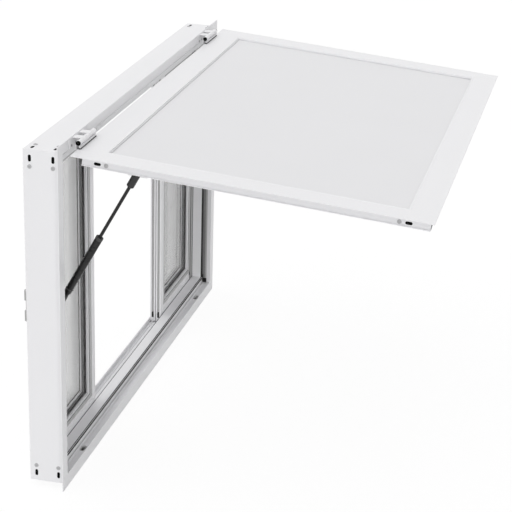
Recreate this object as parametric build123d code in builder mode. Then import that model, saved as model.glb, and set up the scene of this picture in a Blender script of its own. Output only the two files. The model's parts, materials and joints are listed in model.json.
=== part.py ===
from build123d import *
import os
from math import atan2, cos, degrees, hypot, radians, sin

# A concession window: a box frame set in a wall cut-out, an awning door hinged along its head
# and held open by two gas struts, and a sliding window of four sashes behind it.
# Millimetres. X runs across the front, Y into the wall, Z up. The wall's outer face is y = 0,
# and the origin is the middle of the lower flange lip, on its rear face.

# Wall cut-out and box frame
cutout_width = 1346
cutout_height = 838
flange_lip = 15
flange_inner = 18
head_inner = 9.5
flange_thickness = 2
nose_depth = 20
nose_wall = 2
box_wall = 2
box_depth = 87
score_depth = 11
score_width = 1.2

# Slotted fixing holes through the box walls, two in depth near each end
slot_length = 16.6
slot_width = 7.4
slot_from_end = 20.5
slot_depths = (15, 71)

# Sliding window's own track frame, inside the box
track_front = 22
track_inset = 42
track_ledge = 28
track_wall = 2
channel_inset = 20
rear_wall = 3
rear_inset = 32
rib_width = 2
rib_height = 3
rib_depths = (58.5, 75.5)

# Seal that the door's skirt closes against
seal_thickness = 2.5
seal_width = 7
seal_setback = 3

# Sashes: two in depth on each side, slid open so that the middle is clear
sash_thickness = 15
sash_gap = 2
sash_front_gap = 1
serving_gap = 590
outer_stile = 54
centre_stile = 40
bottom_rail = 57
top_rail = 53
sash_side_gap = 3
sash_top_gap = 4
bead_width = 5
bead_depth = 8
pane_setback = 10
pane_thickness = 4
pane_bite = 6
band_inset = 15
band_width = 9
band_depth = 1.5
groove_width = 6
groove_depth = 5
plug_height = 14

# Awning door
door_range = 85
door_tilt = 90 - door_range
skin_thickness = 2
door_border = 67
door_gap = 6
door_stand_off = 7.5
door_lap_top = 15.7
door_lap_bottom = 3
door_lap_side = 13
skirt_depth = 25
skirt_wall = 2
skirt_lip = 3
lip_height = 2
stiffener_width = 12
stiffener_depth = 12
skirt_slot_from_end = 58
skirt_slot_depth = 16
panel_recess = 6
panel_thickness = 4

# Hinges
hinge_insets = (54, 90)
hinge_length = 110
knuckle_count = 5
knuckle_gap = 0.4
knuckle_radius = 6
pin_radius = 2.5
pin_clearance = 0.05
pin_head_radius = 5.6
pin_head = 2
axis_above_skin = 13.5
axis_set_back = 0.5
leaf_thickness = 1.5
leaf_height = 22
leaf_foot = 24

# Gas struts, both pivots in one upright plane inside each jamb
strut_inset = 56
strut_foot_depth = 20
strut_foot_height = 452
strut_reach = 143
strut_drop = 36.5
tube_radius = 9
tube_length = 165
rod_radius = 4
rod_in_tube = 20
rod_clearance = 0.05
socket_radius = 6.5
head_socket_radius = 9
head_socket_chamfer = 2.5
socket_head = 6
socket_length = 32
foot_collar = 6
stud_radius = 3
stud_head_radius = 4.5
stud_head_length = 7
stud_clearance = 0.3
stud_gap = 0.3
ear_thickness = 2
ear_height = 30
ear_front = 10
ear_rear = 26
bracket_length = 46
bracket_depth = 40
bracket_foot = 1.5

# Sill keepers and jamb latches
keeper_inset = 153
keeper_length = 22
keeper_width = 9
keeper_wall = 1.2
keeper_depth = 12
keeper_front = 6
latch_height_centre = 453
latch_length = 79
latch_plate = 2
latch_width = 14
latch_lug_length = 27
latch_lug_depth = 4.5
latch_lug_width = 8

# Places that follow from the sizes above
box_bottom = flange_lip / 2
box_top = box_bottom + cutout_height
box_middle = (box_bottom + box_top) / 2
half_width = cutout_width / 2
door_width = cutout_width - 2 * flange_inner + 2 * door_lap_side
door_length = cutout_height - flange_inner - head_inner + door_lap_top + door_lap_bottom
track_back = box_depth
channel_front = track_front + track_ledge
channel_back = track_back - rear_wall
rib_top = channel_inset + rib_height
skin_front = -flange_thickness - door_stand_off - skin_thickness
door_top = box_top - head_inner + door_lap_top
axis_y = skin_front - axis_above_skin
axis_z = door_top + axis_set_back
hinge_lap = door_lap_top + door_gap
outer_lap = door_lap_bottom + door_gap
side_lap = door_lap_side + door_gap
strut_x = half_width - strut_inset

across = Vector(1, 0, 0)
upward = Vector(0, 0, 1)
inward_depth = Vector(0, 1, 0)
tilt = radians(door_tilt)
door_out = Vector(0, -cos(tilt), -sin(tilt))
door_under = Vector(0, sin(tilt), -cos(tilt))
hinge_axis = Vector(0, axis_y, axis_z)


def save(piece, name):
    """Label a finished piece and write its file."""
    piece.part.label = name
    export_step(piece.part, f"parts/{name}.step")


def door_point(reach, drop, x=0):
    """A point of the open door: reach out from the hinge axis, drop below it."""
    return hinge_axis + door_out * reach + door_under * drop + across * x


class Side:
    """One side of a rectangular frame: its outer line, its direction, and the way inward."""

    def __init__(self, centre, inward, depth, span, length):
        self.inward = inward
        self.depth = depth
        self.along = depth.cross(inward)
        self.origin = centre - inward * (span / 2)
        self.length = length

    def section_plane(self, shift=0):
        """Plane of the member's section: x is the depth, y the distance inward."""
        return Plane(self.origin + self.along * shift, x_dir=self.depth, z_dir=self.along)

    def mitre(self, end):
        """Cutting plane at 45 degrees through the outer corner at one end, 1 or -1."""
        corner = self.origin + self.along * (end * self.length / 2)
        return Plane(corner, x_dir=self.depth, z_dir=self.inward + self.along * end)

    def outer_face(self):
        """Plane on the outer wall, with x along the member and y against the depth."""
        return Plane(self.origin, x_dir=self.along, z_dir=self.inward * -1)


def frame_sides(centre, up, depth, width, height):
    """The four sides of a frame of this width and height."""
    return {
        "sill": Side(centre, up, depth, height, width),
        "head": Side(centre, up * -1, depth, height, width),
        "jamb_left": Side(centre, across, depth, width, height),
        "jamb_right": Side(centre, across * -1, depth, width, height),
    }


# Box frame: four mitred extrusions, each a flange with a hollow nose, scored along its inner
# face, and a wall behind it. The head's nose is the slimmest, so the jambs' noses run on past
# the mitre and butt against it. The sill's nose has an oval hole for each keeper.
def box_section(inner):
    nose_hollow = (nose_depth - nose_wall, inner - box_wall - nose_wall)
    score_bottom = inner - nose_wall / 2
    with BuildSketch() as section:
        with BuildLine():
            Polyline(
                (-flange_thickness, -flange_lip),
                (-flange_thickness, inner),
                (score_depth, inner),
                (score_depth, score_bottom),
                (score_depth + score_width, score_bottom),
                (score_depth + score_width, inner),
                (nose_depth, inner),
                (nose_depth, box_wall),
                (box_depth, box_wall),
                (box_depth, 0),
                (0, 0),
                (0, -flange_lip),
                close=True,
            )
        make_face()
        with Locations((nose_hollow[0] / 2, box_wall + nose_hollow[1] / 2)):
            Rectangle(nose_hollow[0], nose_hollow[1], mode=Mode.SUBTRACT)
    return section.sketch


keeper_x = half_width - keeper_inset
keeper_plane = Plane((0, keeper_front, box_bottom + flange_inner))
box_sides = frame_sides(
    Vector(0, 0, box_middle), upward, inward_depth, cutout_width, cutout_height
)
butt_width = flange_inner - head_inner
for side_name, side in box_sides.items():
    with BuildPart() as box_member:
        with BuildSketch(side.section_plane()):
            add(box_section(head_inner if side_name == "head" else flange_inner))
        extrude(amount=side.length / 2 + flange_lip, both=True)
        split(bisect_by=side.mitre(1), keep=Keep.BOTTOM)
        split(bisect_by=side.mitre(-1), keep=Keep.BOTTOM)
        if side_name in ("jamb_left", "jamb_right"):
            with BuildSketch(side.section_plane()):
                add(box_section(flange_inner))
                with Locations((0, head_inner + butt_width / 2)):
                    Rectangle(2 * box_depth, butt_width, mode=Mode.INTERSECT)
            extrude(amount=side.along.Z * (side.length / 2 - head_inner))
        slot_end = side.length / 2 - slot_from_end
        with BuildSketch(side.outer_face()):
            with Locations([(end * slot_end, -depth) for end in (-1, 1) for depth in slot_depths]):
                SlotOverall(slot_length, slot_width)
        extrude(amount=-box_wall, mode=Mode.SUBTRACT)
        if side_name == "sill":
            with BuildSketch(keeper_plane):
                with Locations((-keeper_x, 0), (keeper_x, 0)):
                    SlotOverall(keeper_length, keeper_width)
            extrude(amount=-nose_wall, mode=Mode.SUBTRACT)
    save(box_member, f"frame_{side_name}")


# Track frame: mitred hollow extrusions with a front ledge, two ribs and a rear upstand
def track_section():
    ledge_hollow = (track_ledge - 2 * track_wall, track_inset - box_wall - 2 * track_wall)
    floor_hollow = (track_back - channel_front - track_wall, channel_inset - box_wall - 2 * track_wall)
    with BuildSketch() as section:
        with BuildLine():
            Polyline(
                (track_front, box_wall),
                (track_front, track_inset),
                (channel_front, track_inset),
                (channel_front, channel_inset),
                (channel_back, channel_inset),
                (channel_back, rear_inset),
                (track_back, rear_inset),
                (track_back, box_wall),
                close=True,
            )
        make_face()
        with Locations((track_front + track_ledge / 2, (track_inset + box_wall) / 2)):
            Rectangle(ledge_hollow[0], ledge_hollow[1], mode=Mode.SUBTRACT)
        with Locations(((channel_front + track_back - track_wall) / 2, (channel_inset + box_wall) / 2)):
            Rectangle(floor_hollow[0], floor_hollow[1], mode=Mode.SUBTRACT)
        with Locations([(depth, channel_inset + rib_height / 2) for depth in rib_depths]):
            Rectangle(rib_width, rib_height)
    return section.sketch


for side_name, side in box_sides.items():
    with BuildPart() as track_member:
        with BuildSketch(side.section_plane()):
            add(track_section())
        extrude(amount=side.length / 2, both=True)
        split(bisect_by=side.mitre(1), keep=Keep.BOTTOM)
        split(bisect_by=side.mitre(-1), keep=Keep.BOTTOM)
    save(track_member, f"track_{side_name}")

seal_inset = track_inset - seal_setback
front_plane = Plane((0, track_front, box_middle), x_dir=(1, 0, 0), z_dir=(0, -1, 0))
with BuildPart() as front_seal:
    with BuildSketch(front_plane):
        seal_outer = seal_inset - seal_width
        Rectangle(cutout_width - 2 * seal_outer, cutout_height - 2 * seal_outer)
        Rectangle(cutout_width - 2 * seal_inset, cutout_height - 2 * seal_inset, mode=Mode.SUBTRACT)
    extrude(amount=seal_thickness)
save(front_seal, "front_seal")

# Sashes, each with a deep glazing rebate and a shallow band round it, and their panes
sash_bottom = box_bottom + rib_top
sash_top = box_top - rib_top - sash_top_gap
sash_height = sash_top - sash_bottom
sash_outer_x = half_width - rib_top - sash_side_gap
sash_width = sash_outer_x - serving_gap / 2
glass_width = sash_width - outer_stile - centre_stile
glass_height = sash_height - bottom_rail - top_rail
glass_x = serving_gap / 2 + centre_stile + glass_width / 2
glass_z = sash_bottom + bottom_rail + glass_height / 2
sash_fronts = {
    "fixed": channel_front + sash_front_gap,
    "sliding": channel_front + sash_front_gap + sash_thickness + sash_gap,
}
for sash_name, sash_front in sash_fronts.items():
    for side_name, hand in (("left", -1), ("right", 1)):
        front_face = Plane((0, sash_front, 0), x_dir=(1, 0, 0), z_dir=(0, -1, 0))
        sash_x = hand * (serving_gap + sash_width) / 2
        sash_z = sash_bottom + sash_height / 2
        middle = sash_front + sash_thickness / 2
        with BuildPart() as sash:
            with BuildSketch(front_face):
                with Locations((sash_x, sash_z)):
                    Rectangle(sash_width, sash_height)
                with Locations((hand * glass_x, glass_z)):
                    Rectangle(glass_width, glass_height, mode=Mode.SUBTRACT)
            extrude(amount=-sash_thickness)
            with BuildSketch(front_face):
                with Locations((hand * glass_x, glass_z)):
                    Rectangle(glass_width + 2 * bead_width, glass_height + 2 * bead_width)
            extrude(amount=-bead_depth, mode=Mode.SUBTRACT)
            with BuildSketch(front_face):
                with Locations((hand * glass_x, glass_z)):
                    band_edge = band_inset + band_width
                    Rectangle(glass_width + 2 * band_edge, glass_height + 2 * band_edge)
                    Rectangle(
                        glass_width + 2 * band_inset, glass_height + 2 * band_inset, mode=Mode.SUBTRACT
                    )
            extrude(amount=-band_depth, mode=Mode.SUBTRACT)
            with BuildSketch(front_face.offset(-pane_setback)):
                with Locations((hand * glass_x, glass_z)):
                    Rectangle(glass_width + 2 * pane_bite, glass_height + 2 * pane_bite)
            extrude(amount=-pane_thickness, mode=Mode.SUBTRACT)
            with BuildSketch(Plane.XY.offset(sash_bottom + plug_height)):
                with Locations(
                    (hand * (serving_gap + groove_depth) / 2, middle),
                    (hand * (sash_outer_x - groove_depth / 2), middle),
                ):
                    Rectangle(groove_depth, groove_width)
            extrude(amount=sash_height, mode=Mode.SUBTRACT)
        save(sash, f"sash_{sash_name}_{side_name}")
        with BuildPart() as pane:
            with BuildSketch(front_face.offset(-pane_setback)):
                with Locations((hand * glass_x, glass_z)):
                    Rectangle(glass_width + 2 * pane_bite, glass_height + 2 * pane_bite)
            extrude(amount=-pane_thickness)
        save(pane, f"pane_{sash_name}_{side_name}")

# Keepers, steel cups set flush in the sill's nose, and latches on the rear edge of the track jambs
for side_name, hand in (("left", -1), ("right", 1)):
    with BuildPart() as keeper:
        with BuildSketch(keeper_plane):
            with Locations((hand * keeper_x, 0)):
                SlotOverall(keeper_length, keeper_width)
        extrude(amount=-keeper_depth)
        with BuildSketch(keeper_plane):
            with Locations((hand * keeper_x, 0)):
                SlotOverall(keeper_length - 2 * keeper_wall, keeper_width - 2 * keeper_wall)
        extrude(amount=keeper_wall - keeper_depth, mode=Mode.SUBTRACT)
    save(keeper, f"keeper_{side_name}")

    latch_x = hand * (half_width - box_wall - latch_width / 2)
    latch_z = box_bottom + latch_height_centre
    latch_plane = Plane((latch_x, track_back, latch_z), x_dir=(1, 0, 0), z_dir=(0, 1, 0))
    with BuildPart() as latch:
        with BuildSketch(latch_plane):
            RectangleRounded(latch_width, latch_length, latch_plate)
        extrude(amount=latch_plate)
        lug_offset = (latch_length - latch_lug_length) / 2
        with BuildSketch(latch_plane.offset(latch_plate)):
            with Locations((0, -lug_offset), (0, lug_offset)):
                RectangleRounded(latch_lug_width, latch_lug_length, latch_plate)
        extrude(amount=latch_lug_depth)
    save(latch, f"latch_{side_name}")

# Door frame: mitred face plates, each with a skirt, a stiffening chamber and a panel rebate.
# The outer edge is the frame's sill side, and the hinge edge its head side.
door_middle = door_point(axis_set_back + door_length / 2, axis_above_skin)
door_sides = frame_sides(door_middle, door_out * -1, door_under, door_width, door_length)
door_names = {
    "sill": "door_rail_outer",
    "head": "door_rail_hinge",
    "jamb_left": "door_stile_left",
    "jamb_right": "door_stile_right",
}
skirt_insets = {
    "sill": outer_lap,
    "head": hinge_lap,
    "jamb_left": side_lap,
    "jamb_right": side_lap,
}


def door_face_section():
    with BuildSketch() as section:
        with BuildLine():
            Polyline(
                (0, 0),
                (0, door_border),
                (panel_recess, door_border),
                (panel_recess, door_border - skirt_wall),
                (skin_thickness, door_border - skirt_wall),
                (skin_thickness, 0),
                close=True,
            )
        make_face()
    return section.sketch


def skirt_section(lap):
    """Lip, skirt and chamber, from the skirt's outermost line at this lap inward."""
    face = lap + skirt_lip
    chamber_back = face + stiffener_width
    hollow = (stiffener_depth - skin_thickness - skirt_wall, stiffener_width - 2 * skirt_wall)
    with BuildSketch() as section:
        with BuildLine():
            Polyline(
                (skin_thickness, face),
                (skirt_depth - lip_height, face),
                (skirt_depth - lip_height, lap),
                (skirt_depth, lap),
                (skirt_depth, face + skirt_wall),
                (stiffener_depth, face + skirt_wall),
                (stiffener_depth, chamber_back),
                (skin_thickness, chamber_back),
                close=True,
            )
        make_face()
        with Locations((skin_thickness + hollow[0] / 2, face + skirt_wall + hollow[1] / 2)):
            Rectangle(hollow[0], hollow[1], mode=Mode.SUBTRACT)
    return section.sketch


rail_half = door_width / 2 - side_lap - skirt_lip - stiffener_width
skirt_spans = {
    "sill": (-rail_half, rail_half),
    "head": (-rail_half, rail_half),
    "jamb_left": (hinge_lap - door_length / 2, door_length / 2 - outer_lap),
    "jamb_right": (outer_lap - door_length / 2, door_length / 2 - hinge_lap),
}
for side_name, side in door_sides.items():
    span_start, span_end = skirt_spans[side_name]
    with BuildPart() as door_member:
        with BuildSketch(side.section_plane()):
            add(door_face_section())
        extrude(amount=side.length / 2, both=True)
        split(bisect_by=side.mitre(1), keep=Keep.BOTTOM)
        split(bisect_by=side.mitre(-1), keep=Keep.BOTTOM)
        with BuildSketch(side.section_plane(span_start)):
            add(skirt_section(skirt_insets[side_name]))
        extrude(amount=span_end - span_start)
        if side_name in ("jamb_left", "jamb_right"):
            slot_end = door_length / 2 - skirt_slot_from_end
            with BuildSketch(side.outer_face().offset(-side_lap - skirt_lip)):
                with Locations([(end * slot_end, -skirt_slot_depth) for end in (-1, 1)]):
                    SlotOverall(slot_length, slot_width)
            extrude(amount=-skirt_wall, mode=Mode.SUBTRACT)
    save(door_member, door_names[side_name])

panel_plane = Plane(
    door_middle + door_under * panel_recess, x_dir=(1, 0, 0), z_dir=door_under
)
with BuildPart() as door_panel:
    with BuildSketch(panel_plane):
        panel_edge = door_border - skirt_wall
        Rectangle(door_width - 2 * panel_edge, door_length - 2 * panel_edge)
    extrude(amount=panel_thickness)
save(door_panel, "door_panel")

# Hinges: knuckles 1, 3 and 5 on the door, 2 and 4 on the frame
knuckle_pitch = hinge_length / knuckle_count
hinge_starts = {
    "left": hinge_insets[0] - door_width / 2,
    "right": door_width / 2 - hinge_insets[1] - hinge_length,
}
for side_name, start in hinge_starts.items():
    hinge_middle = start + hinge_length / 2

    def knuckle_plane(index):
        """Upright plane across the hinge axis at the start of one knuckle."""
        knuckle_start = start + index * knuckle_pitch + knuckle_gap / 2
        return Plane((knuckle_start, axis_y, axis_z), x_dir=(0, 1, 0), z_dir=(1, 0, 0))

    with BuildPart() as frame_leaf:
        for index in (1, 3):
            with BuildSketch(knuckle_plane(index)):
                Circle(knuckle_radius)
                web_length = -flange_thickness - leaf_thickness - axis_y
                with Locations((web_length / 2, knuckle_radius - leaf_thickness / 2)):
                    Rectangle(web_length, leaf_thickness)
                Circle(pin_radius, mode=Mode.SUBTRACT)
            extrude(amount=knuckle_pitch - knuckle_gap)
        leaf_top = axis_z + knuckle_radius
        leaf_plane = Plane(
            (hinge_middle, -flange_thickness, leaf_top - leaf_height / 2),
            x_dir=(1, 0, 0),
            z_dir=(0, -1, 0),
        )
        with BuildSketch(leaf_plane):
            Rectangle(hinge_length, leaf_height)
        extrude(amount=leaf_thickness)
    save(frame_leaf, f"hinge_leaf_{side_name}")

    with BuildPart() as door_leaf:
        for index in (0, 2, 4):
            knuckle_start = start + index * knuckle_pitch + knuckle_gap / 2
            web_plane = Plane(
                door_point(0, 0, knuckle_start), x_dir=door_under, z_dir=(1, 0, 0)
            )
            with BuildSketch(web_plane):
                Circle(knuckle_radius)
                web_drop = axis_above_skin + skin_thickness + leaf_thickness
                with Locations((web_drop / 2, knuckle_radius - leaf_thickness / 2)):
                    Rectangle(web_drop, leaf_thickness)
                foot_reach = knuckle_radius + axis_set_back
                with Locations((web_drop - leaf_thickness / 2, knuckle_radius - foot_reach / 2)):
                    Rectangle(leaf_thickness, foot_reach)
                Circle(pin_radius + pin_clearance, mode=Mode.SUBTRACT)
            extrude(amount=knuckle_pitch - knuckle_gap)
        foot_plane = Plane(
            door_point(axis_set_back, axis_above_skin + skin_thickness, hinge_middle),
            x_dir=(1, 0, 0),
            z_dir=door_under,
        )
        with BuildSketch(foot_plane):
            with Locations((0, leaf_foot / 2)):
                Rectangle(hinge_length - knuckle_gap, leaf_foot)
        extrude(amount=leaf_thickness)
    save(door_leaf, f"door_leaf_{side_name}")

    with BuildPart() as hinge_pin:
        with BuildSketch(Plane((start, axis_y, axis_z), x_dir=(0, 1, 0), z_dir=(1, 0, 0))):
            Circle(pin_radius)
        extrude(amount=hinge_length)
        for head_x in (start - pin_head, start + hinge_length):
            with BuildSketch(Plane((head_x, axis_y, axis_z), x_dir=(0, 1, 0), z_dir=(1, 0, 0))):
                Circle(pin_head_radius)
            extrude(amount=pin_head)
    save(hinge_pin, f"hinge_pin_{side_name}")

# Gas struts at rest, with the door open
foot_pivot = Vector(0, strut_foot_depth, box_bottom + strut_foot_height)
head_pivot = door_point(strut_reach, axis_above_skin + strut_drop)
strut_line = head_pivot - foot_pivot
open_length = strut_line.length
strut_up = strut_line.normalized()
closed_head = Vector(0, axis_y + axis_above_skin + strut_drop, axis_z - strut_reach)
closed_line = closed_head - foot_pivot
strut_swing = degrees(atan2(strut_line.Z, strut_line.Y) - atan2(closed_line.Z, closed_line.Y))
print("hinge axis", hinge_axis, "door range", door_range)
print("strut foot", foot_pivot, "strut head", head_pivot, "x", strut_x)
print("open length", open_length, "closed length", closed_line.length, "swing", strut_swing)


def strut_plane(hand, distance):
    """Plane across the strut, this far up from its foot pivot."""
    return Plane(foot_pivot + across * (hand * strut_x) + strut_up * distance, x_dir=(1, 0, 0), z_dir=strut_up)


tube_start = socket_length
tube_end = tube_start + tube_length
head_socket_start = open_length - socket_length
for side_name, hand in (("left", -1), ("right", 1)):
    # Lower stud: an ear on the inner face of the track jamb, with its round head inside the socket
    ear_x = half_width - track_inset
    ear_plane = Plane((hand * ear_x, 0, foot_pivot.Z), x_dir=(0, 1, 0), z_dir=(-hand, 0, 0))
    ear_length = ear_front + ear_rear
    stud_length = strut_inset - track_inset
    with BuildPart() as strut_mount:
        with BuildSketch(ear_plane):
            with Locations((foot_pivot.Y - ear_front + ear_length / 2, 0)):
                RectangleRounded(ear_length, ear_height, ear_thickness * 2)
        extrude(amount=ear_thickness)
        with BuildSketch(ear_plane):
            with Locations((foot_pivot.Y, 0)):
                Circle(stud_radius)
        extrude(amount=stud_length)
        with BuildSketch(ear_plane.offset(stud_length - stud_head_length / 2)):
            with Locations((foot_pivot.Y, 0)):
                Circle(stud_head_radius)
        extrude(amount=stud_head_length)
    save(strut_mount, f"strut_mount_{side_name}")

    # Cylinder: socket round the stud's head, collar, then the tube with the rod's bore in it
    cavity_end = stud_length - stud_head_length / 2 - stud_clearance
    with BuildPart() as strut_tube:
        with BuildSketch(strut_plane(hand, -socket_head)):
            Circle(socket_radius)
        extrude(amount=socket_head + socket_length - foot_collar)
        with BuildSketch(strut_plane(hand, socket_length - foot_collar)):
            Circle(socket_radius)
        with BuildSketch(strut_plane(hand, socket_length)):
            Circle(tube_radius)
        loft()
        with BuildSketch(strut_plane(hand, tube_start)):
            Circle(tube_radius)
        extrude(amount=tube_length)
        with BuildSketch(strut_plane(hand, tube_start + foot_collar)):
            Circle(rod_radius + rod_clearance)
        extrude(amount=tube_length, mode=Mode.SUBTRACT)
        with BuildSketch(ear_plane.offset(cavity_end)):
            with Locations((foot_pivot.Y, 0)):
                Circle(stud_head_radius + stud_clearance)
        extrude(amount=stud_head_length + 2 * stud_clearance, mode=Mode.SUBTRACT)
        with BuildSketch(ear_plane):
            with Locations((foot_pivot.Y, 0)):
                Circle(stud_radius + stud_clearance)
        extrude(amount=stud_length, mode=Mode.SUBTRACT)
    save(strut_tube, f"strut_tube_{side_name}")

    with BuildPart() as strut_rod:
        with BuildSketch(strut_plane(hand, tube_end - rod_in_tube)):
            Circle(rod_radius)
        extrude(amount=head_socket_start - tube_end + rod_in_tube)
    save(strut_rod, f"strut_rod_{side_name}")

    with BuildPart() as strut_socket:
        with BuildSketch(strut_plane(hand, head_socket_start)):
            Circle(head_socket_radius)
        extrude(amount=socket_length + socket_head)
        chamfer(strut_socket.edges().filter_by(GeomType.CIRCLE), head_socket_chamfer)
    save(strut_socket, f"strut_socket_{side_name}")

    # Upper stud: a bracket under the door, whose stud ends beside the socket
    bracket_x = strut_x - head_socket_radius - stud_gap
    bracket_face = door_point(strut_reach, axis_above_skin + skin_thickness, hand * (bracket_x - bracket_foot))
    bracket_plane = Plane(bracket_face, x_dir=door_out * -1, z_dir=(-hand, 0, 0))
    with BuildPart() as strut_bracket:
        with BuildSketch(bracket_plane):
            with Locations((0, hand * bracket_depth / 2)):
                Rectangle(bracket_length, bracket_depth)
        extrude(amount=ear_thickness)
        with BuildSketch(Plane(head_pivot + across * (hand * bracket_x), z_dir=(-hand, 0, 0))):
            Circle(stud_radius)
        extrude(amount=bracket_foot + ear_thickness)
    save(strut_bracket, f"strut_bracket_{side_name}")
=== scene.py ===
import json
from math import cos, radians, sin

import bmesh
import bpy
from mathutils import Matrix, Vector


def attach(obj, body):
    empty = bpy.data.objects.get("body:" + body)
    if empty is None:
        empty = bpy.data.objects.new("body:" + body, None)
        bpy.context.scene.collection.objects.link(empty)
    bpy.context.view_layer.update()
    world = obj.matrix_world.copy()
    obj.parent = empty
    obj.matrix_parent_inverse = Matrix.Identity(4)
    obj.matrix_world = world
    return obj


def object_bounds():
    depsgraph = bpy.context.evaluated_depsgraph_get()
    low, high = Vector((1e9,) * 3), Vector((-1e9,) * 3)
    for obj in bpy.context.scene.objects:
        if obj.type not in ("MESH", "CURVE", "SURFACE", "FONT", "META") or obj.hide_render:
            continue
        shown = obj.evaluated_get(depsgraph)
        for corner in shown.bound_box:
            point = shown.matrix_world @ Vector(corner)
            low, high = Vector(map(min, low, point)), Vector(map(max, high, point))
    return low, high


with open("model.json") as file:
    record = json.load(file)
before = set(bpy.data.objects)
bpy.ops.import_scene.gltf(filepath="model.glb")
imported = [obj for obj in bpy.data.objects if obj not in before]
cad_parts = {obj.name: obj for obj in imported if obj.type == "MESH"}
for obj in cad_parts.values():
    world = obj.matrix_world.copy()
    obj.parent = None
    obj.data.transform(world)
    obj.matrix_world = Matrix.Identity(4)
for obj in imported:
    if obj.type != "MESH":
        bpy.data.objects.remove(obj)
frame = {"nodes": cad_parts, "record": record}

cad_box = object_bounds()
scene = bpy.context.scene
scene.view_settings.view_transform = "Standard"


# Camera
def place_camera(location, azimuth, elevation, roll, lens):
    """A camera at this place, looking along this azimuth and elevation, rolled in its own plane."""
    turn, rise, lean = radians(azimuth), radians(elevation), radians(roll)
    back = Vector((sin(turn) * cos(rise), -cos(turn) * cos(rise), sin(rise)))
    level = Vector((cos(turn), sin(turn), 0))
    up = back.cross(level)
    right = level * cos(lean) + up * sin(lean)
    camera_data = bpy.data.cameras.new("camera")
    camera_data.lens = lens
    camera_data.sensor_width = 36
    camera = bpy.data.objects.new("camera", camera_data)
    scene.collection.objects.link(camera)
    axes = Matrix((right, back.cross(right), back)).transposed().to_4x4()
    camera.matrix_world = Matrix.Translation(location) @ axes
    scene.camera = camera


camera_location = Vector((-3.9552, -1.2242, 1.9335))
place_camera(camera_location, azimuth=-76.881, elevation=20.836, roll=1.659, lens=114.215)


# Shader maths
class Value:
    """A node socket that takes part in Python expressions."""

    def __init__(self, maker, socket):
        self.maker = maker
        self.socket = socket

    def maths(self, operation, first, second):
        return self.maker.node("ShaderNodeMath", {"operation": operation}, {0: first, 1: second})

    def __add__(self, other):
        return self.maths("ADD", self, other)

    def __radd__(self, other):
        return self.maths("ADD", other, self)

    def __sub__(self, other):
        return self.maths("SUBTRACT", self, other)

    def __rsub__(self, other):
        return self.maths("SUBTRACT", other, self)

    def __mul__(self, other):
        return self.maths("MULTIPLY", self, other)

    def __rmul__(self, other):
        return self.maths("MULTIPLY", other, self)

    def limited(self):
        return self.maths("MAXIMUM", self.maths("MINIMUM", self, 1.0), 0.0)


class Maker:
    """Makes the nodes of one material, or of the world."""

    def __init__(self, name, owners=bpy.data.materials, output="ShaderNodeOutputMaterial"):
        self.material = owners.new(name)
        self.material.use_nodes = True
        self.tree = self.material.node_tree
        self.tree.nodes.clear()
        self.output = self.tree.nodes.new(output)

    def node(self, kind, settings, sockets, output=0):
        """One node: its settings first, then the values or links of its sockets."""
        made = self.tree.nodes.new(kind)
        for key, value in settings.items():
            setattr(made, key, value)
        for key, value in sockets.items():
            if isinstance(value, Value):
                self.tree.links.new(value.socket, made.inputs[key])
            else:
                made.inputs[key].default_value = value
        return Value(self, made.outputs[output])

    def place(self):
        """Object coordinates, in metres."""
        return self.node("ShaderNodeTexCoord", {}, {}, "Object")

    def stretched(self, scale):
        """Object coordinates scaled along each axis."""
        return self.node("ShaderNodeMapping", {}, {"Vector": self.place(), "Scale": scale})

    def noise(self, scale, detail, vector=None):
        sockets = {"Vector": vector or self.place(), "Scale": scale, "Detail": detail}
        return self.node("ShaderNodeTexNoise", {}, sockets, "Fac")

    def mixed(self, factor, first, second):
        """A colour between two others."""
        return self.node("ShaderNodeMix", {"data_type": "RGBA"}, {"Factor": factor, 6: first, 7: second}, 2)

    def seen(self):
        """1 where the camera, a reflection or glass shows this, and 0 where it only lights the object."""
        rays = ("Is Camera Ray", "Is Glossy Ray", "Is Transmission Ray")
        camera_ray, glossy_ray, glass_ray = (self.node("ShaderNodeLightPath", {}, {}, ray) for ray in rays)
        return (camera_ray + glossy_ray + glass_ray).limited()

    def bump(self, height, strength, distance):
        return self.node("ShaderNodeBump", {}, {"Height": height, "Strength": strength, "Distance": distance})

    def show(self, shader):
        """Put this shader on the surface."""
        self.tree.links.new(shader.socket, self.output.inputs["Surface"])

    def surface(self, **sockets):
        """A principled surface with these sockets."""
        inputs = {key.replace("_", " "): value for key, value in sockets.items()}
        self.show(self.node("ShaderNodeBsdfPrincipled", {}, inputs))


def grey(level):
    return (level, level, level, 1)


def cool_white(level):
    return (level * 1.002, level, level * 1.018, 1)


# Finishes
def powder_coat(name, level, roughness):
    """White powder coat on an extrusion: a fine orange peel and faint clouding."""
    maker = Maker(name)
    clouds = maker.noise(3.5, 3.0)
    peel = maker.noise(900.0, 1.0)
    maker.surface(
        Base_Color=maker.mixed(clouds, cool_white(level * 0.97), cool_white(level * 0.99)),
        Roughness=maker.noise(45.0, 2.0) * 0.10 + (roughness - 0.05),
        Normal=maker.bump(peel, 0.06, 0.0003),
        Coat_Weight=0.12,
        Coat_Roughness=0.25,
    )
    return maker.material


def rolled_sheet(name, level):
    """The door's painted sheet: flatter and softer than the extrusions, with a faint long ripple."""
    maker = Maker(name)
    ripple = maker.noise(2.0, 2.0, maker.stretched((1.0, 2.6, 1.0)))
    peel = maker.noise(700.0, 1.0)
    maker.surface(
        Base_Color=maker.mixed(maker.noise(5.0, 3.0), cool_white(level * 0.975), cool_white(level * 0.995)),
        Roughness=ripple * 0.08 + 0.44,
        Normal=maker.bump(ripple * 0.7 + peel * 0.02, 0.12, 0.002),
    )
    return maker.material


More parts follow.
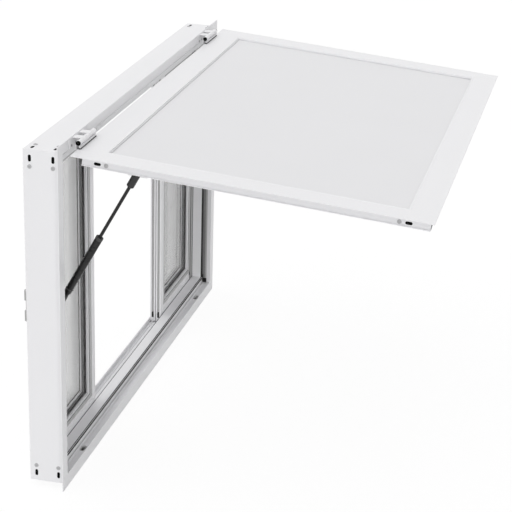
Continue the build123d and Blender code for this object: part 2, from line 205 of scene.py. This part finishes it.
def clear_glass(name, tint, clearness, bend):
    """Glass with this tint, this clear and bending light this much, with faint smears."""
    maker = Maker(name)
    smears = maker.noise(7.0, 4.0)
    maker.surface(
        Base_Color=maker.mixed(smears, grey(tint * 0.97), grey(tint)),
        Roughness=(smears - 0.5).limited() * 0.05,
        Transmission_Weight=clearness,
        IOR=bend,
    )
    return maker.material


def black_rubber(name):
    """Matt rubber with a film of fine dust, also the black of the painted shadow on the hinges' gap strips
    and the jambs' corner blocks.
    """
    maker = Maker(name)
    dust = maker.noise(160.0, 4.0)
    maker.surface(
        Base_Color=maker.mixed(dust, grey(0.008), grey(0.02)),
        Roughness=dust * 0.25 + 0.55,
        Specular_IOR_Level=0.2,
        Normal=maker.bump(dust, 0.25, 0.0004),
    )
    return maker.material


def painted_shade_strip(name, low, high):
    """A grey finish of painted shade for strips that stand in for shaded walls, such as the rebate that the
    glazing sits in, with a fine grain of dust.
    """
    maker = Maker(name)
    dust = maker.noise(120.0, 3.0)
    maker.surface(
        Base_Color=maker.mixed(dust, grey(low), grey(high)),
        Roughness=dust * 0.2 + 0.5,
        Normal=maker.bump(maker.noise(600.0, 1.0), 0.1, 0.0002),
    )
    return maker.material


def grey_pile(name):
    """Brush pile: fine upright hairs, lighter and darker at random in tufts."""
    maker = Maker(name)
    hairs = maker.noise(2400.0, 2.0)
    tufts = maker.noise(300.0, 3.0)
    maker.surface(
        Base_Color=maker.mixed(hairs * 0.6 + tufts * 0.4, grey(0.30), grey(0.62)),
        Roughness=tufts * 0.1 + 0.85,
        Normal=maker.bump(hairs, 0.6, 0.0006),
    )
    return maker.material


def black_enamel(name):
    """The struts' smooth black coat, a little worn."""
    maker = Maker(name)
    wear = maker.noise(60.0, 3.0)
    maker.surface(
        Base_Color=maker.mixed(wear, grey(0.010), grey(0.020)),
        Roughness=wear * 0.15 + 0.20,
        Normal=maker.bump(maker.noise(500.0, 1.0), 0.08, 0.0002),
        Specular_IOR_Level=0.3,
    )
    return maker.material


def moulded_plastic(name, level):
    """Moulded plastic with a fine even grain."""
    maker = Maker(name)
    grain = maker.noise(700.0, 2.0)
    maker.surface(
        Base_Color=maker.mixed(maker.noise(90.0, 2.0), grey(level), grey(level * 1.6)),
        Roughness=grain * 0.2 + 0.4,
        Normal=maker.bump(grain, 0.2, 0.0002),
    )
    return maker.material


def black_pin_and_hollow_shade(name):
    """Painted shade for the dark inside of a hollow section, seen through a slot and at the skirts' open
    ends, and the black of the blackened hinge pins.
    """
    maker = Maker(name)
    dust = maker.noise(90.0, 2.0)
    maker.surface(
        Base_Color=maker.mixed(dust, grey(0.002), grey(0.006)),
        Roughness=dust * 0.1 + 0.85,
        Specular_IOR_Level=0.05,
    )
    return maker.material


def plated_steel(name, level, roughness):
    """Plated steel with a fine even grain."""
    maker = Maker(name)
    grain = maker.noise(420.0, 2.0)
    maker.surface(
        Base_Color=maker.mixed(grain, grey(level * 0.85), grey(level)),
        Metallic=1.0,
        Roughness=grain * 0.14 + roughness,
        Normal=maker.bump(grain, 0.1, 0.0002),
    )
    return maker.material


slot_finishes = {
    "white_frame": powder_coat("white_powder_coat", 0.84, 0.42),
    "white_panel": rolled_sheet("white_panel_sheet", 0.78),
    "white_fitting": powder_coat("white_fitting_coat", 0.82, 0.38),
    "glass": clear_glass("rear_glass", 0.765, 0.62, 1.5),
    "seal": black_rubber("seal_rubber"),
    "pin": black_pin_and_hollow_shade("hinge_pin_black"),
    "strut_black": black_enamel("strut_enamel"),
    "strut_steel": black_enamel("rod_black_nitride"),
    "black_plastic": moulded_plastic("socket_plastic", 0.014),
    "grey_fitting": plated_steel("fitting_steel", 0.45, 0.35),
}
screw_grey = powder_coat("screw_grey_coat", 0.48, 0.35)
# Painted shade: the lining, trim, stile and pad finishes below colour strips that stand in for the shade in
# rebates, recesses, on the stiles' faces and in the jambs' noses
lining_painted_shade = painted_shade_strip("glazing_channel_grey", 0.20, 0.27)
front_glass = clear_glass("front_glass", 0.98, 1.0, 1.04)
trim_painted_shade = painted_shade_strip("trim_painted_shade", 0.44, 0.52)
stile_painted_shade = painted_shade_strip("stile_painted_shade", 0.42, 0.48)
pad_painted_shade = painted_shade_strip("pad_painted_shade", 0.08, 0.12)
gland_black = moulded_plastic("gland_black", 0.03)
# Painted shadow for the dark hollows seen through slots and at the skirts' open ends
slot_painted_shadow = black_pin_and_hollow_shade("slot_painted_shadow")
pile_grey = grey_pile("brush_pile")

# CAD nodes: a finish for each, and softened edges on the coated, rubber and plated ones, in millimetres
record_slots = {entry["node"]: entry["material_slot"] for entry in frame["record"]["subparts"]}
edge_widths = {"white_frame": 0.5, "white_fitting": 0.3, "seal": 0.7, "grey_fitting": 0.4, "strut_black": 0.8}
for node_name, node in frame["nodes"].items():
    slot_name = record_slots[node_name]
    node.data.materials.clear()
    is_front_pane = node_name.startswith("pane_fixed")
    node.data.materials.append(front_glass if is_front_pane else slot_finishes[slot_name])
    if slot_name in edge_widths:
        node.modifiers.new("merged", "WELD").merge_threshold = 0.00001
        flat = node.modifiers.new("flat_faces", "DECIMATE")
        flat.decimate_type = "DISSOLVE"
        flat.angle_limit = radians(0.5)
        edge = node.modifiers.new("soft_edges", "BEVEL")
        edge.width = edge_widths[slot_name] / 1000
        edge.segments = 2
        edge.limit_method = "ANGLE"
        edge.angle_limit = radians(40)
        edge.harden_normals = True

# Hand tools, which take millimetres and degrees
front = Vector((0, -1, 0))
top = Vector((0, 0, 1))
crease = radians(35)


def mm(*values):
    return Vector(values) / 1000


def moved(x, y, z):
    return Matrix.Translation(mm(x, y, z))


def turned(axis, degrees):
    return Matrix.Rotation(radians(degrees), 4, axis)


def started(add, name, centre, **sizes):
    """A primitive at its place, with the operator's own sizes, open in edit mode as a start for a piece."""
    bpy.ops.object.select_all(action="DESELECT")
    add(location=mm(*centre), **sizes)
    piece = bpy.context.object
    piece.name = name
    bpy.ops.object.transform_apply(location=True, rotation=True, scale=True)
    bpy.ops.object.mode_set(mode="EDIT")
    bpy.ops.mesh.select_mode(type="FACE")
    return piece


def box_between(name, low, high):
    """A box between two corners, open in edit mode."""
    low, high = Vector(low), Vector(high)
    return started(bpy.ops.mesh.primitive_cube_add, name, (low + high) / 2, size=0.001, scale=high - low)


def upright(name, middle_height, radius, height, sides, turn=0):
    """A cylinder on the z axis, open in edit mode."""
    return started(
        bpy.ops.mesh.primitive_cylinder_add,
        name,
        (0, 0, middle_height),
        vertices=sides,
        radius=radius / 1000,
        depth=height / 1000,
        rotation=(0, 0, radians(turn)),
    )


def select_faces(piece, wanted):
    """Select the faces that pass this test."""
    bpy.ops.mesh.select_all(action="DESELECT")
    shape = bmesh.from_edit_mesh(piece.data)
    for face in shape.faces:
        if wanted(face):
            face.select_set(True)
    bmesh.update_edit_mesh(piece.data)


def inset(border, individual=False):
    """Inset the selected faces."""
    bpy.ops.mesh.inset(thickness=border / 1000, use_even_offset=True, use_individual=individual)


def pushed(direction, distance):
    """Push what is selected."""
    bpy.ops.transform.translate(value=direction * (distance / 1000))


def face_pushed(piece, direction, border, distance):
    """Inset the face that looks in this direction and push it out, or in where the distance is negative."""
    select_faces(piece, lambda face: face.normal.dot(direction) > 0.9)
    inset(border)
    pushed(direction, distance)


def hollowed(piece, axis, wall):
    """Open a piece along this axis, so that a wall of this width is left round it."""
    select_faces(piece, lambda face: abs(getattr(face.normal, axis)) > 0.9)
    inset(wall)
    bpy.ops.mesh.bridge_edge_loops()
    bpy.ops.mesh.select_all(action="SELECT")
    bpy.ops.mesh.normals_make_consistent(inside=False)


def with_modifier(piece, kind, settings):
    """Leave edit mode, and add and apply one modifier."""
    if piece.mode == "EDIT":
        bpy.ops.object.mode_set(mode="OBJECT")
    made = piece.modifiers.new(kind.lower(), kind)
    for key, value in settings.items():
        setattr(made, key, value)
    bpy.context.view_layer.objects.active = piece
    bpy.ops.object.modifier_apply(modifier=made.name)


def softened(piece, width, segments=2):
    """Round the edges of a piece."""
    rounding = {"width": width / 1000, "segments": segments, "limit_method": "ANGLE", "angle_limit": crease}
    with_modifier(piece, "BEVEL", rounding)


def ring_between(name, low, high, width, soft):
    """A strip round a rectangle that lies across the window."""
    piece = box_between(name, low, high)
    hollowed(piece, "y", width)
    softened(piece, soft)
    return piece


def panelled_box(name, low, high, border, depth, soft):
    """A box whose front face is sunk inside a border."""
    piece = box_between(name, low, high)
    face_pushed(piece, front, border, -depth)
    softened(piece, soft)
    return piece


def copied(piece, name, matrix):
    """A copy with its own mesh, moved in the mesh."""
    copy = piece.copy()
    copy.data = piece.data.copy()
    copy.name = name
    scene.collection.objects.link(copy)
    copy.data.transform(matrix)
    return copy


def finished(piece, body, slot, finish=None):
    """Smooth a piece, give it this finish or its slot's own, and set it on its body."""
    if piece.mode == "EDIT":
        bpy.ops.object.mode_set(mode="OBJECT")
    bpy.ops.object.select_all(action="DESELECT")
    piece.select_set(True)
    bpy.context.view_layer.objects.active = piece
    bpy.ops.object.shade_smooth_by_angle(angle=crease)
    piece.data.materials.clear()
    piece.data.materials.append(finish or slot_finishes[slot])
    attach(piece, body)


# Sizes that the CAD nodes have, in millimetres
box_side = 673
box_under = 7.5
box_over = 845.5
slot_from_end = 20.5
screw_from_end = 40
fixing_depths = {"front": 15, "rear": 71}
sill_top = 25.5
keeper_side, keeper_depth = 520, 6
glass_side, glass_far_side = 335, 593
glass_foot, glass_head = 87.5, 765.5
serving_side = 295
groove_floor = 300
sash_foot = 30.5
sash_head = 818.5
sash_middles = {"fixed": 58.5, "sliding": 75.5}
hinge_starts = {"left": -614, "right": 468}
hinge_length = 110
hinge_depth, hinge_height = -25, 852.2
door_fall = 5
door_half = 668
door_edge_gap = 0.5
door_reach = 829.2
skin_drop = 13.5
skirt_face = 646
skirt_middle_drop = skin_drop + 16
strut_side, strut_depth, strut_height = 617, 20, 459.5
door_frame = moved(0, hinge_depth, hinge_height) @ turned("X", door_fall)
both_hands = (("left", -1), ("right", 1))

# Rings round each pair of panes: name, front, back, how far outside the glass opening the outer line lies,
# width, softness, slot and finish, where None is the slot's own finish
glazing_rings = (
    # The rebate lining, the recess strip and the strip on the sash's face are painted shade: grey strips for
    # the shade on the rebate's wall, in the recess round the bead and on the face behind the ledge
    ("glazing_channel", 67.1, 75.2, 5, 5, 0.4, "grey_fitting", lining_painted_shade),
    ("glazing_bead_front", 75.4, 78, 0, 7, 0.4, "white_frame", None),
    ("glazing_gasket_front", 77.2, 78, -7, 1.7, 0.25, "seal", None),
    ("glazing_bead_rear", 82, 83, 0, 7, 0.4, "white_frame", None),
    ("glazing_gasket_rear", 82, 82.6, -7, 1.7, 0.25, "seal", None),
    ("front_gasket", 65.1, 66.9, 0, 2.2, 0.3, "seal", None),
    ("front_bead", 59, 60.9, 0, 1.1, 0.3, "white_frame", None),
    ("sash_bead", 54, 58.9, 5, 4.9, 0.5, "white_frame", None),
    ("sash_wedge", 52.6, 53.8, 5, 1.6, 0.3, "grey_fitting", lining_painted_shade),
    ("sash_face_shade", 50.5, 51, 13, 8, 0.2, "grey_fitting", trim_painted_shade),
)
for side_name, hand in both_hands:
    for ring_name, ring_front, ring_back, outward, width, soft, slot, finish in glazing_rings:
        side_a, side_b = sorted((hand * (glass_side - outward), hand * (glass_far_side + outward)))
        low = (side_a, ring_front, glass_foot - outward)
        high = (side_b, ring_back, glass_head + outward)
        ring = ring_between(f"{ring_name}_{side_name}", low, high, width, soft)
        finished(ring, "window", slot, finish)

# Fin along the ledge's rear edge, and the lip that widens the front seal
ledge_fin = ring_between("ledge_fin", (-631.8, 49.2, 48.7), (631.8, 50.9, 804.3), 1.1, 0.3)
finished(ledge_fin, "window", "seal")
seal_lip = ring_between("seal_lip", (-634.4, 20.4, 46.1), (634.4, 22, 806.9), 2.6, 0.5)
finished(seal_lip, "window", "seal")

# White foot in front of the seal along the sill
seal_foot = panelled_box("seal_foot", (-640, 19.1, 37.3), (640, 22, 47), 1.8, 0.9, 0.4)
finished(seal_foot, "window", "white_frame")

# Strips of painted shade on the jambs, with a mirror twin for the left: name, two corners, border, slot and
# finish. They are painted shade on the outer stile's face and the nose's floor, painted shade on the nose's
# inner wall that gets lighter towards the front, and a black block and pad of painted shadow in the corner at
# its foot
strip_foot, strip_head = sash_foot + 3, sash_head - 3
jamb_strips = (
    ("stile_shade_strip", (606.6, 50.4, strip_foot), (631.4, 51, strip_head), 2.2, "grey_fitting", stile_painted_shade),
    ("nose_shaded_floor", (641.2, 20.6, 48), (653.5, 21.9, 834), 1.0, "seal", pad_painted_shade),
    ("nose_shade_liner", (653.7, 14.2, 26.4), (654.9, 21.6, 835), 0.3, "grey_fitting", lining_painted_shade),
    ("nose_shade_edging", (654, 9.2, 26.4), (654.9, 14, 835), 0.3, "grey_fitting", stile_painted_shade),
    ("corner_shadow_block", (651.6, 9, 25.7), (654.8, 21.4, 39), 0.8, "seal", None),
    ("corner_shadow_pad", (641.2, 18.6, 34), (651.4, 21.9, 52), 0.8, "seal", None),
)
for strip_name, low, high, border, slot, finish in jamb_strips:
    strip = box_between(f"{strip_name}_right", low, high)
    select_faces(strip, lambda face: face.normal.x < -0.9 or face.normal.y < -0.9)
    inset(border, individual=True)
    bpy.ops.object.mode_set(mode="OBJECT")
    softened(strip, 0.2)
    twin = copied(strip, f"{strip_name}_left", Matrix.Diagonal((-1, 1, 1, 1)))
    twin.data.flip_normals()
    for piece in (strip, twin):
        finished(piece, "window", slot, finish)

# White cover over the seal along the head
cover = panelled_box("head_seal_cover", (-640, 18.5, 803.4), (640, 22, 817), 2.2, 0.2, 0.4)
finished(cover, "window", "white_frame")

# Brush pile in the serving edges' grooves, standing on black wedges, with a turned twin for the left
wedge_top = sash_foot + 30
for sash_name, middle in sash_middles.items():
    low = (serving_side + 0.8, middle - 2.4, sash_foot + 15)
    brush = box_between(f"edge_brush_{sash_name}_right", low, (groove_floor, middle + 2.4, sash_head))
    face_pushed(brush, Vector((-1, 0, 0)), 1.1, -1.2)
    bpy.ops.object.mode_set(mode="OBJECT")
    low = (serving_side - 0.6, middle - 2.9, sash_foot + 12)
    wedge = box_between(f"edge_wedge_{sash_name}_right", low, (groove_floor, middle + 2.9, wedge_top))
    slope_start = mm(serving_side + 1.6, middle, wedge_top)
    bpy.ops.mesh.bisect(plane_co=slope_start, plane_no=(-0.94, 0, 0.34), use_fill=True, clear_outer=True)
    softened(wedge, 0.5)
    half_turn = turned("Z", 180) @ moved(0, -2 * middle, 0)
    for piece, slot, finish in ((brush, "grey_fitting", pile_grey), (wedge, "seal", None)):
        twin = copied(piece, piece.name.replace("right", "left"), half_turn)
        finished(piece, "window", slot, finish)
        finished(twin, "window", slot, finish)


# Obrounds
def obround(name, length, width, height, dish):
    """A low obround on the plane z = 0, long along y, with a dished face."""
    blank = upright(name, height / 2, width / 2, height, sides=24, turn=7.5)
    bpy.ops.mesh.bisect(plane_co=(0, 0, 0), plane_no=(0, 1, 0))
    stretch = (length - width) / 2
    bpy.ops.mesh.select_mode(type="VERT")
    for end in (-1, 1):
        bpy.ops.mesh.select_all(action="DESELECT")
        shape = bmesh.from_edit_mesh(blank.data)
        for point in shape.verts:
            point.select_set(point.co.y * end > 0.00005)
        bmesh.update_edit_mesh(blank.data)
        pushed(Vector((0, end, 0)), stretch)
    bpy.ops.mesh.select_mode(type="FACE")
    face_pushed(blank, top, dish, -dish / 2)
    bpy.ops.object.mode_set(mode="OBJECT")
    return blank


# Steel rims on the sill's keeper cups
rim_width = 2.6
for side_name, hand in both_hands:
    rim = obround(f"keeper_rim_{side_name}", 27, 13.5, 1.1, rim_width)
    bpy.ops.object.mode_set(mode="EDIT")
    select_faces(rim, lambda face: face.normal.z < -0.9)
    inset(rim_width)
    select_faces(rim, lambda face: abs(face.normal.z) > 0.9 and len(face.verts) > 8)
    bpy.ops.mesh.bridge_edge_loops()
    bpy.ops.object.mode_set(mode="OBJECT")
    rim.data.transform(moved(hand * keeper_side, keeper_depth, sill_top + 0.1) @ turned("Z", 90))
    finished(rim, "window", "grey_fitting")

# Places on the box walls: how a piece that is made on z = 0 is turned to look out of each wall
wall_turns = {
    "jamb_left": turned("Y", -90) @ turned("Z", 90),
    "jamb_right": turned("Y", 90) @ turned("Z", -90),
    "head": turned("Z", 90),
    "sill": turned("Y", 180) @ turned("Z", 90),
}


def fixing_places(from_end):
    """A name and a place for what repeats near the ends of the four box walls, on their outer faces."""
    height_end = (box_over - box_under) / 2 - from_end
    middle_height = (box_over + box_under) / 2
    for wall, wall_turn in wall_turns.items():
        for end_name, end in (("a", -1), ("b", 1)):
            for depth_name, depth in fixing_depths.items():
                if wall in ("head", "sill"):
                    place = (end * (box_side - from_end), depth, box_over if wall == "head" else box_under)
                else:
                    side = box_side if wall == "jamb_right" else -box_side
                    place = (side, depth, middle_height + end * height_end)
                yield f"{wall}_{end_name}_{depth_name}", moved(*place) @ wall_turn


# Painted shadow for the dark hollow seen through the fixing slots: a black obround, modelled once and set
# back in each slot
shadow_blank = obround("slot_insert", 16.2, 7.0, 0.9, 0.4)
shadow_setback = moved(0, 0, -1.2)
for name, place in fixing_places(slot_from_end):
    piece = copied(shadow_blank, f"slot_insert_{name}", place @ shadow_setback)
    finished(piece, "window", "black_plastic", slot_painted_shadow)

# Pan-head screws with a cross recess, modelled once
screw = upright("screw", 0.5, 5.1, 1.4, sides=24)
face_pushed(screw, top, 1.4, 0.5)
inset(1.6)
pushed(top, 0.2)
bpy.ops.object.mode_set(mode="OBJECT")
for turn in (0, 90):
    cutter = box_between("cutter", (-2.4, -0.5, 0.9), (2.4, 0.5, 3))
    bpy.ops.object.mode_set(mode="OBJECT")
    cutter.data.transform(turned("Z", turn))
    with_modifier(screw, "BOOLEAN", {"operation": "DIFFERENCE", "solver": "EXACT", "object": cutter})
    bpy.data.objects.remove(cutter)


def screwed(name, body, place, size=1.0, finish=screw_grey):
    """One screw, at this share of the size of the frame's screws."""
    finished(copied(screw, name, place @ Matrix.Scale(size, 4)), body, "grey_fitting", finish)


for name, place in fixing_places(screw_from_end):
    screwed(f"frame_screw_{name}", "window", place)

# Door's skirts: painted shadow in the slots, screws, and a black block of painted shadow for the dark open
# hollow at each outer end
skirt_fixings = (("inner", 58.5, 79.5), ("outer", 771.7, 750.7))
for side_name, hand in both_hands:
    skirt_turn = turned("Y", hand * 90)
    for end_name, slot_reach, screw_reach in skirt_fixings:
        place = door_frame @ moved(hand * skirt_face, -slot_reach, -skirt_middle_drop) @ skirt_turn
        piece = copied(shadow_blank, f"skirt_insert_{end_name}_{side_name}", place @ shadow_setback)
        finished(piece, "door", "black_plastic", slot_painted_shadow)
        place = door_frame @ moved(hand * skirt_face, -screw_reach, -skirt_middle_drop) @ skirt_turn
        screwed(f"skirt_screw_{end_name}_{side_name}", "door", place)
    inner_edge, outer_edge = sorted((hand * 633, hand * 645.4))
    end_shadow = box_between(f"skirt_end_plug_{side_name}", (inner_edge, -821.4, -36), (outer_edge, -819.6, -16))
    slope_start, slope = mm(hand * 634, 0, -16), (-hand * 0.93, 0, -0.37)
    bpy.ops.mesh.bisect(plane_co=slope_start, plane_no=slope, use_fill=True, clear_outer=True)
    softened(end_shadow, 0.4)
    end_shadow.data.transform(door_frame)
    finished(end_shadow, "door", "black_plastic", slot_painted_shadow)
bpy.data.objects.remove(shadow_blank)


# Door's panel: a rounded bead along the border, and a soft gasket in the corner below it
def door_ring(name, edge_inset, top_drop, foot_drop, width, soft):
    """A strip round the door's panel: inset from the door's outline, with drops from the hinge axis."""
    across = door_half - edge_inset
    near, far = -(door_edge_gap + edge_inset), -(door_reach + door_edge_gap - edge_inset)
    piece = box_between(name, (-across, far, -foot_drop), (across, near, -top_drop))
    hollowed(piece, "z", width)
    softened(piece, soft, 3)
    piece.data.transform(door_frame)
    return piece


finished(door_ring("panel_bead", 63.4, 13.1, 17.5, 4.4, 0.9), "door", "white_frame")
finished(door_ring("panel_gasket", 67, 16, 19.5, 3.4, 1.3), "door", "white_panel")

# Hinges: a black strip of painted shadow for the gap and a white web below each barrel, screws in the frame's
# leaf, a rivet in each pin's ends
for side_name, start in hinge_starts.items():
    end = start + hinge_length
    low, high = (start - 1.6, -6.6, -13.6), (end - 0.5, -1.5, -11.4)
    strip = panelled_box(f"hinge_gap_strip_{side_name}", low, high, 1.2, 0.8, 0.4)
    strip.data.transform(door_frame)
    finished(strip, "door", "seal")
    low, high = (start + 0.5, -5.6, -11.5), (end - 0.5, -1, -6.4)
    web = panelled_box(f"hinge_web_{side_name}", low, high, 0.9, 0.6, 0.5)
    web.data.transform(door_frame)
    finished(web, "door", "white_fitting")
    for index, offset in enumerate((14, 41, 69, 96)):
        place = moved(start + offset, -3.5, 841) @ turned("X", 90)
        screwed(f"leaf_screw_{index}_{side_name}", "window", place, 0.6, slot_finishes["grey_fitting"])
    for end_name, side, turn in (("a", start - 2, -90), ("b", end + 2, 90)):
        rivet = upright(f"pin_rivet_{end_name}_{side_name}", 0.2, 0.9, 0.6, sides=20)
        face_pushed(rivet, top, 0.3, 0.3)
        bpy.ops.object.mode_set(mode="OBJECT")
        rivet.data.transform(moved(side, hinge_depth, hinge_height) @ turned("Y", turn))
        finished(rivet, "window", "black_plastic", gland_black)

# Gas struts: a gland at the tube's mouth and a crimp near its foot, as name, middle height, height, wall,
# softness and segments, and the screws of the brackets and of the jambs' latches
tube_collars = (("tube_gland", 193.6, 8.5, 4.4, 0.8, 3), ("tube_crimp", 41, 4, 0.6, 0.25, 2))
collar_radius = 9.25
strut_up = Vector((0, -0.484687, 0.874688))
strut_turn = strut_up.to_track_quat("Z", "X").to_matrix().to_4x4()
for side_name, hand in both_hands:
    inward = turned("Y", -hand * 90)
    for collar_name, middle_height, height, wall, soft, segments in tube_collars:
        collar = upright(f"{collar_name}_{side_name}", middle_height, collar_radius, height, sides=40)
        hollowed(collar, "z", wall)
        softened(collar, soft, segments)
        collar.data.transform(moved(hand * strut_side, strut_depth, strut_height) @ strut_turn)
        finished(collar, f"cylinder_{side_name}", "black_plastic", gland_black)
    for index, rise in enumerate((-8, 8)):
        place = moved(hand * 629, 34, strut_height + rise) @ inward
        screwed(f"mount_screw_{index}_{side_name}", "window", place, 0.6)
    for index, reach in enumerate((127, 159)):
        place = door_frame @ moved(hand * 604.2, -reach, -(skin_drop + 14)) @ inward
        screwed(f"bracket_screw_{index}_{side_name}", "door", place, 0.6)
    for index, rise in enumerate((-9, 9)):
        place = moved(hand * 664, 89, 460.5 + rise) @ turned("X", -90)
        screwed(f"latch_screw_{index}_{side_name}", "window", place, 0.5, slot_finishes["grey_fitting"])
bpy.data.objects.remove(screw)


# Floor and light
def pale_floor():
    """A white floor that keeps a faint shadow."""
    maker = Maker("floor_white")
    diffuse = maker.node("ShaderNodeBsdfDiffuse", {}, {"Color": grey(0.82)})
    glow = maker.node("ShaderNodeEmission", {}, {"Color": grey(1.0), "Strength": 1.03})
    maker.show(maker.node("ShaderNodeMixShader", {}, {0: maker.seen() * 0.9, 1: diffuse, 2: glow}))
    bpy.ops.object.select_all(action="DESELECT")
    bpy.ops.mesh.primitive_plane_add(size=60, location=(0, 0, cad_box[0][2] - 0.0005))
    floor = bpy.context.object
    floor.name = "floor"
    floor.data.materials.append(maker.material)


def soft_world():
    """Even light from all round, weaker from the front and the left, behind a white background."""
    maker = Maker("world", bpy.data.worlds, "ShaderNodeOutputWorld")
    direction = maker.node("ShaderNodeTexCoord", {}, {}, "Generated")
    across = maker.node("ShaderNodeSeparateXYZ", {}, {0: direction}, "X")
    depth = maker.node("ShaderNodeSeparateXYZ", {}, {0: direction}, "Y")
    from_front = (0 - depth).limited()
    from_left = (0 - across).limited()
    weaker = (from_front + from_left * 0.7).limited()
    light = maker.node("ShaderNodeBackground", {}, {"Color": maker.mixed(weaker, grey(0.82), grey(0.47))})
    white = maker.node("ShaderNodeBackground", {}, {"Color": grey(1.0)})
    maker.show(maker.node("ShaderNodeMixShader", {}, {0: maker.seen(), 1: light, 2: white}))
    scene.world = maker.material


def soft_sun(name, direction, strength, spread):
    """A broad distant lamp that shines from this direction."""
    sun_data = bpy.data.lights.new(name, "SUN")
    sun_data.energy = strength
    sun_data.angle = radians(spread)
    sun = bpy.data.objects.new(name, sun_data)
    sun.rotation_euler = Vector(direction).to_track_quat("Z", "Y").to_euler()
    scene.collection.objects.link(sun)


pale_floor()
soft_world()
soft_sun("sun_behind", (-0.2, 0.28, 0.94), strength=0.78, spread=70)
soft_sun("sun_left", (-0.89, -0.42, 0.12), strength=1.1, spread=50)
